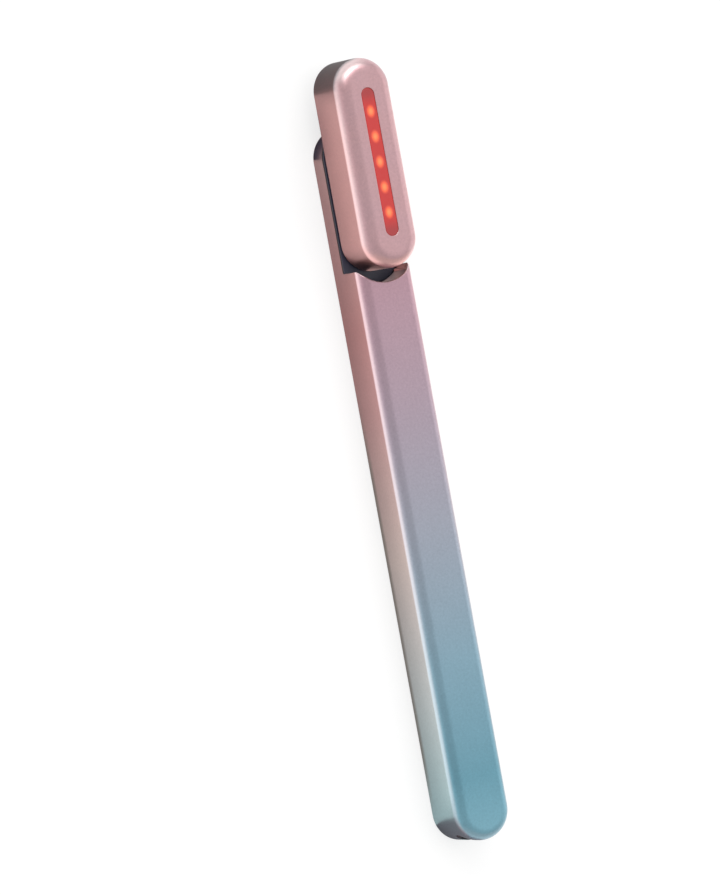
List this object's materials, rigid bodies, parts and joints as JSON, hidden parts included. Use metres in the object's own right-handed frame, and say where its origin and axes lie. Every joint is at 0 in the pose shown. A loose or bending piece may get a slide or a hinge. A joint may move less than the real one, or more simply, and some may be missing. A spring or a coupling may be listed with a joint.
{
  "type": "light therapy wand",
  "caption": "Slim aluminium light therapy wand with a flat back, a round bottom end and a swivelling stadium-shaped head that shines red light through a narrow window.",
  "frame": {"origin": "on the flat back that the wand lies on, under the middle of the wand's length and width", "axes": "+X along the handle towards the head, +Y to the wand's left, +Z out of the treatment face"},
  "size_m": [0.19, 0.0146, 0.0205],
  "materials": {
    "handle_metal": "anodised, teal at the bottom blending to rose at the head",
    "head_metal": "anodised rose",
    "black_moulding": "fine satin black",
    "tray_plastic": "moulded grey",
    "window": "clear red",
    "led_resin": "cast resin, lit",
    "board": "solder mask",
    "chip": "moulded resin",
    "cell": "aluminium can in a blue sleeve",
    "foam": "foam",
    "silicone": "soft matte",
    "red_wire": "silicone sheath",
    "black_wire": "silicone sheath",
    "steel": "turned and plated",
    "tungsten": "sintered",
    "brass": "turned"
  },
  "bodies": {
    "handle": {"battery_cell": "cell", "battery_lead_minus": "black_wire", "battery_lead_plus": "red_wire", "battery_pad": "foam", "board_screw_1": "steel", "board_screw_2": "steel", "button_gasket": "silicone", "charge_chip": "chip", "chassis": "tray_plastic", "control_chip": "chip", "handle_lead_minus": "black_wire", "handle_lead_plus": "red_wire", "handle_shell": "handle_metal", "inductor": "chip", "main_board": "board", "neck_cap": "black_moulding", "neck_screw_1": "steel", "neck_screw_2": "steel", "pivot_bush": "brass", "tact_switch": "chip", "usb_bezel": "black_moulding", "usb_contact_block": "black_moulding", "usb_socket": "steel"},
    "head": {"friction_washer": "steel", "head_base": "black_moulding", "head_lead_minus": "black_wire", "head_lead_plus": "red_wire", "head_screw_1": "steel", "head_screw_2": "steel", "head_shell": "head_metal", "hub_clip": "steel", "hub_screw_1": "steel", "hub_screw_2": "steel", "hub_screw_3": "steel", "led_1": "led_resin", "led_2": "led_resin", "led_3": "led_resin", "led_4": "led_resin", "led_5": "led_resin", "led_board": "board", "led_carrier": "tray_plastic", "lens_gasket": "silicone", "lens_window": "window", "motor_boot": "silicone", "stop_pin": "steel", "swivel_hub": "steel", "vibration_motor": "steel"},
    "button": {"power_button": "black_moulding", "switch_stem": "tray_plastic"},
    "spinning_weight": {"motor_weight": "tungsten"}
  },
  "joints": [
    {"name": "head_swivel", "type": "hinge", "parent": "handle", "child": "head", "pos_m": [0.06965, 0, 0.0065], "axis": [0, 0, 1], "range_deg": [-90, 90]},
    {"name": "button_press", "type": "slide", "parent": "handle", "child": "button", "axis": [0, 0, 1], "range_m": [0, 0.0005], "stiffness_N_per_m": 3000},
    {"name": "motor_spin", "type": "hinge", "parent": "head", "child": "spinning_weight", "pos_m": [0.07505, 0, 0.0109], "axis": [1, 0, 0], "continuous": true}
  ]
}
